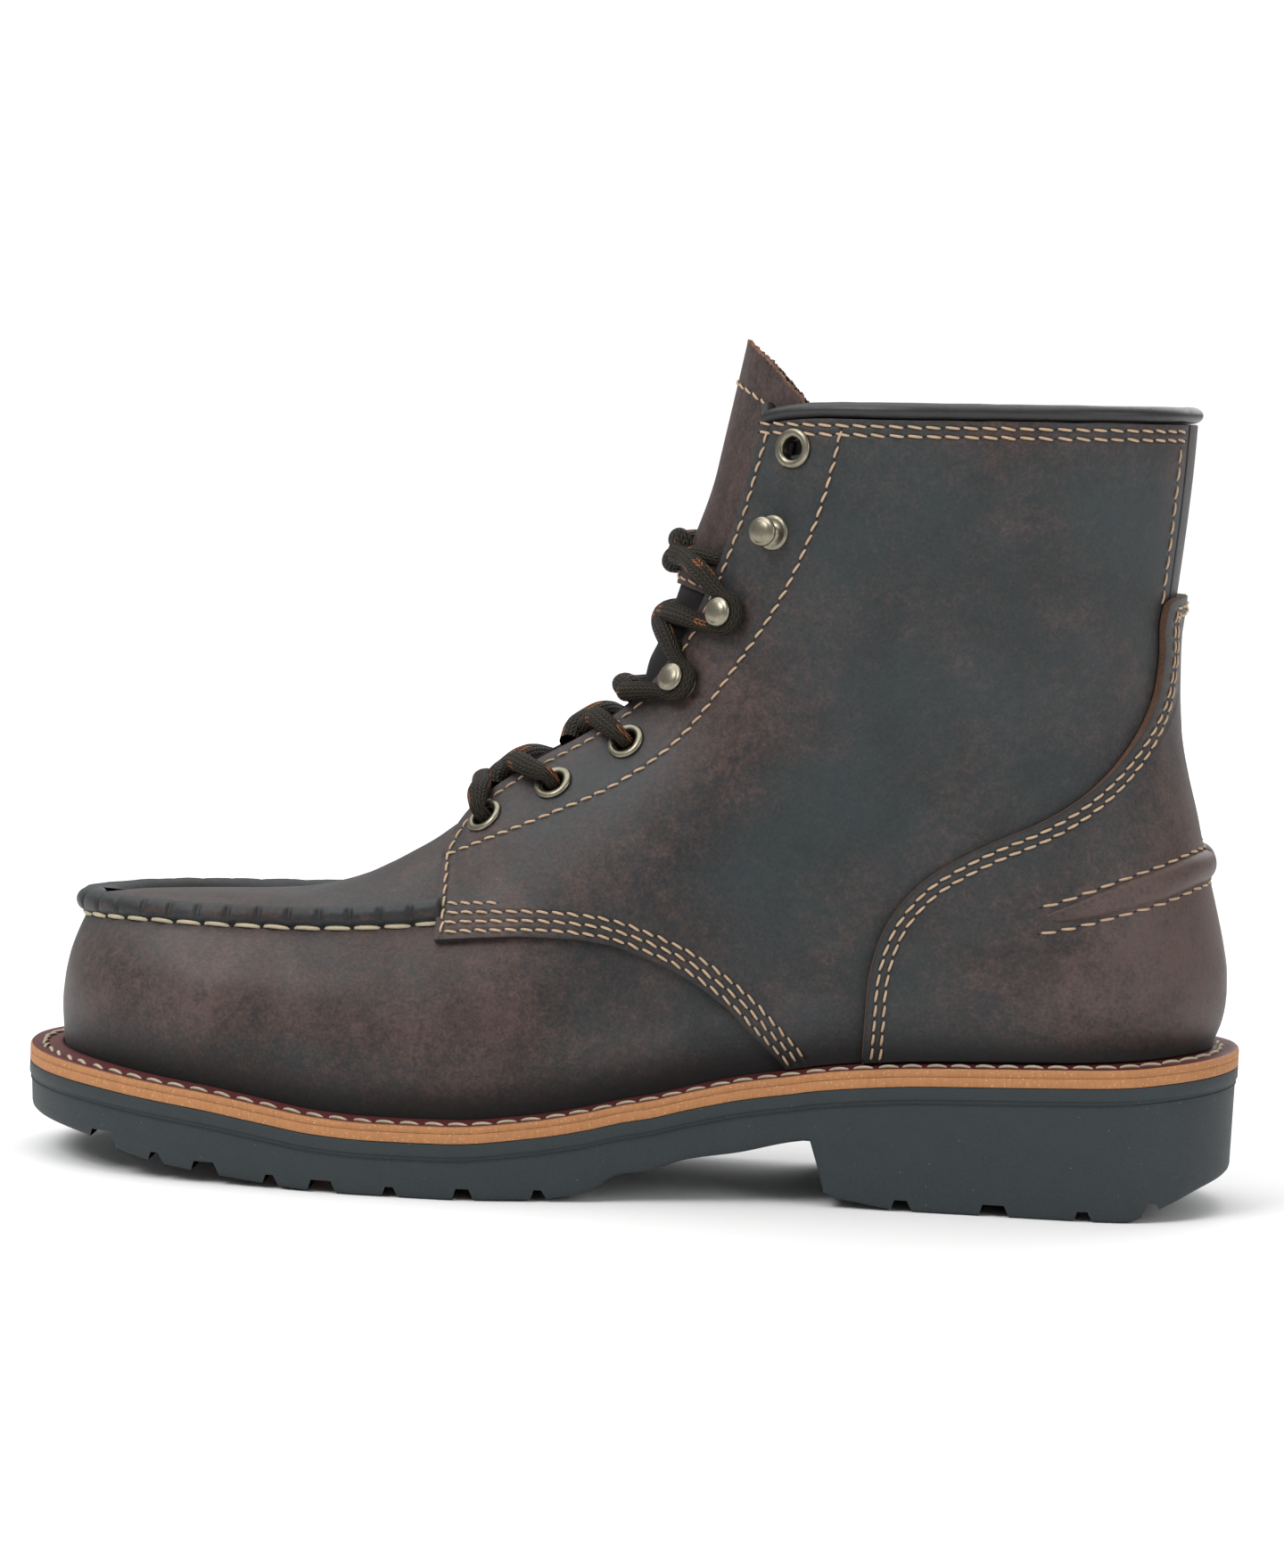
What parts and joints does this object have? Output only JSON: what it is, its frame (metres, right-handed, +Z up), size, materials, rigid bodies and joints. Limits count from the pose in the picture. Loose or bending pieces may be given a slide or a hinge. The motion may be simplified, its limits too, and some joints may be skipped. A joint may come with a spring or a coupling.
{
  "type": "work boot",
  "caption": "Ankle-high left work boot with a composite toe, raised moc seam, welted sole with lugs, lace hooks, and an open collar.",
  "frame": {"origin": "middle of the bounding box, on the ground under the sole", "axes": "+X from toe to heel, +Y to the medial side, +Z up"},
  "size_m": [0.3086, 0.1092, 0.2125],
  "materials": {
    "outsole_rubber": "matte blue-black rubber",
    "midsole_leather": "natural tan leather edge",
    "welt_leather": "dark red leather, tan at its edge",
    "insole_leather": "plain insole leather",
    "upper_leather": "oiled dark brown leather",
    "binding_leather": "near-black rolled leather",
    "tongue_leather": "dark brown leather with a raw top edge",
    "fitting_brass": "antique brass",
    "lace_cord": "braided dark olive cord with orange flecks"
  },
  "bodies": {
    "root": {"backstay": "upper_leather", "collar_binding": "binding_leather", "counter": "upper_leather", "eyelet_lateral_1": "fitting_brass", "eyelet_lateral_2": "fitting_brass", "eyelet_lateral_3": "fitting_brass", "eyelet_lateral_4": "fitting_brass", "eyelet_medial_1": "fitting_brass", "eyelet_medial_2": "fitting_brass", "eyelet_medial_3": "fitting_brass", "eyelet_medial_4": "fitting_brass", "heel_kick": "upper_leather", "hook_lateral_1": "fitting_brass", "hook_lateral_2": "fitting_brass", "hook_lateral_3": "fitting_brass", "hook_medial_1": "fitting_brass", "hook_medial_2": "fitting_brass", "hook_medial_3": "fitting_brass", "insole": "insole_leather", "lace_lower": "lace_cord", "lace_middle": "lace_cord", "lace_upper": "lace_cord", "midsole": "midsole_leather", "outsole": "outsole_rubber", "plug_roll": "binding_leather", "quarter_lateral": "upper_leather", "quarter_medial": "upper_leather", "tongue": "tongue_leather", "upper": "upper_leather", "welt": "welt_leather"}
  },
  "joints": []
}
